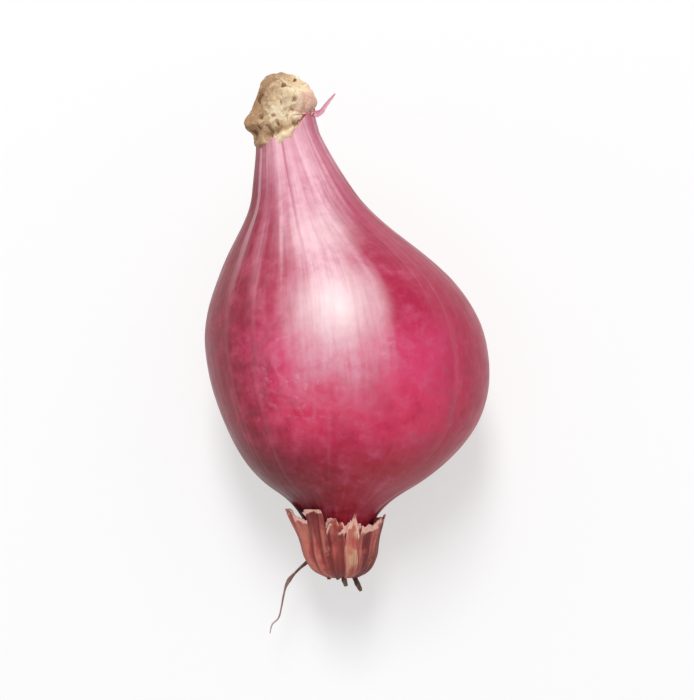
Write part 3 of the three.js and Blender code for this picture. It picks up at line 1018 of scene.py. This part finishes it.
# %% Finish for the roots
def dry_root(tree, shader):
    thin_end = stored(tree, "thin_end").outputs["Fac"]
    ridges = stored(tree, "ridge").outputs["Fac"]
    specks = speckle(tree, place(tree, 0.5), 3.0)
    root_colour = ramp(tree, thin_end, [
        (0.08, seen(66, 44, 42)), (0.35, seen(108, 80, 72)), (0.55, seen(150, 120, 112)),
        (0.9, seen(186, 160, 156)),
    ])
    root_colour = blend(tree, between(tree, specks, 0.45, 0.7, 0.0, 0.4), root_colour, seen(176, 140, 112))
    # Painted shade darkens the grooves between the root's ridges.
    root_colour = blend(tree, between(tree, ridges, 0.0, -0.5, 0.0, 0.5), root_colour, seen(62, 32, 32))
    set_sockets(tree, shader, {
        "Base Color": root_colour, "Roughness": between(tree, specks, 0.3, 0.7, 0.6, 0.85),
        "Normal": relief_of(tree, specks, 0.05), "Specular IOR Level": 0.35,
    })


root_finish = finish("dry_root_finish", dry_root)

# %% [markdown]
# Each piece gets its finish by the first word of its name.

# %% Give every piece its finish
finishes = {
    "bulb_": fresh, "torn_": fresh, "stump_": stump_finish, "plate_": plate_finish,
    "dry_flake": paper_finish, "thread_": root_finish,
}
for piece in bpy.context.scene.objects:
    for start, material in finishes.items():
        if piece.type == "MESH" and piece.name.startswith(start):
            piece.data.materials.clear()
            piece.data.materials.append(material)

# %% [markdown]
# The bulb lies on a plain pale surface. Seen directly, or in a reflection, about half of what the
# surface sends back is plain white, so that it looks clean but still keeps the soft shadow that
# shows where the bulb touches it. The light that it throws on the bulb is that of pale cloth.

# %% The surface it lies on
floor_mesh = bpy.data.meshes.new("pale_floor")
floor_half = 1.5
floor_mesh.from_pydata(
    [(-floor_half, -floor_half, 0), (floor_half, -floor_half, 0),
     (floor_half, floor_half, 0), (-floor_half, floor_half, 0)],
    [], [(0, 1, 2, 3)],
)
floor = bpy.data.objects.new("pale_floor", floor_mesh)
bpy.context.scene.collection.objects.link(floor)

floor_lift = 0.55  # share of the surface that shows plain white, so that its shadow stays light


def pale_floor(tree, shader):
    haze = speckle(tree, place(tree, 60.0), 2.0)
    cloth = blend(tree, haze, seen(246, 246, 246), seen(248, 248, 248))
    set_sockets(tree, shader, {"Base Color": cloth, "Roughness": 0.9, "Specular IOR Level": 0.1})
    path = add(tree, "LightPath").outputs
    seen_directly = path["Is Camera Ray"]
    for mirrored in ("Is Glossy Ray", "Is Transmission Ray"):
        seen_directly = sums(tree, "MAXIMUM", seen_directly, path[mirrored])
    glow = add(tree, "Emission", {"Strength": 1.0})
    lifted = add(tree, "MixShader", {0: product(tree, seen_directly, floor_lift), 1: shader.outputs[0]})
    tree.links.new(glow.outputs[0], lifted.inputs[2])
    return lifted.outputs[0]


floor_mesh.materials.append(finish("pale_floor_finish", pale_floor))

# %% [markdown]
# The camera looks steeply down on the bulb, from a little on the root side, with a long lens so that
# the neck is not drawn out. Its distance follows from the size of the solid model's box.

# %% Camera
camera_rise = math.radians(77)
lens, sensor = 120.0, 36.0
frame_share = 0.80  # of the picture's height that the bulb fills
target = (Vector(cad_low) + Vector(cad_high)) / 2
view_way = Vector((0, -math.cos(camera_rise), math.sin(camera_rise)))
view_height = (cad_high[1] - cad_low[1]) * math.sin(camera_rise)
view_height += (cad_high[2] - cad_low[2]) * 0.4 * math.cos(camera_rise)
camera_distance = view_height / frame_share * lens / sensor
camera_data = bpy.data.cameras.new("view_from_above")
camera_data.lens, camera_data.sensor_width = lens, sensor
camera_data.clip_start, camera_data.clip_end = 0.01, 10
camera = bpy.data.objects.new("view_from_above", camera_data)
camera.location = target + view_way * camera_distance
camera.rotation_euler = view_way.to_track_quat("Z", "Y").to_euler()
bpy.context.scene.collection.objects.link(camera)
bpy.context.scene.camera = camera
print("camera", round(camera_distance, 3), "m from the middle of the bulb")

# %% [markdown]
# Soft light from all round shows the colours as they are. It is brightest overhead and close to the
# horizon, so that a low view has a pale background too. One long soft lamp above the neck end gives
# the pale gleam on top of the belly, and lets the sides and the root end fall off a little. The plain
# view transform shows every colour as it was mixed.

# %% Light
scene = bpy.context.scene
scene.view_settings.view_transform = "Standard"
scene.world = bpy.data.worlds.new("pale_room")
scene.world.use_nodes = True
room = scene.world.node_tree
room_light = room.nodes["Background"]
ceiling, walls, skirting = 0.56, 0.24, 0.9  # brightness overhead, at eye level and at the horizon
way_out = add(room, "TexCoord").outputs["Generated"]
height_out = add(room, "SeparateXYZ", {0: way_out}).outputs["Z"]
level = add(room, "MapRange", {"Value": height_out, "To Min": walls, "To Max": ceiling})
low_rim = between(room, height_out, 0.22, 0.06)
level = add(room, "Mix", {0: low_rim, 2: level.outputs["Result"], 3: skirting})
room_light.inputs["Color"].default_value = (1, 1, 1, 1)
room.links.new(level.outputs[0], room_light.inputs["Strength"])


def soft_lamp(name, tilt_y, tilt_x, distance, size, power):
    """A rectangular lamp that faces the bulb, tilted from straight above by two angles."""
    lamp_data = bpy.data.lights.new(name, "AREA")
    lamp_data.shape = "RECTANGLE"
    lamp_data.size, lamp_data.size_y = size
    lamp_data.energy = power
    lamp = bpy.data.objects.new(name, lamp_data)
    way_to_lamp = Vector((math.tan(tilt_x), math.tan(tilt_y), 1)).normalized()
    lamp.location = target + way_to_lamp * distance
    lamp.rotation_euler = way_to_lamp.to_track_quat("Z", "Y").to_euler()
    scene.collection.objects.link(lamp)


lamp_tilt, lamp_lean = math.radians(27), math.radians(-4)  # towards the neck, and to the left
lamp_distance = 1.1
lamp_size = (0.26, 0.6)  # narrow across the bulb and long along it
lamp_power = 8.4
soft_lamp("gleam_lamp", lamp_tilt, lamp_lean, lamp_distance, lamp_size, lamp_power)
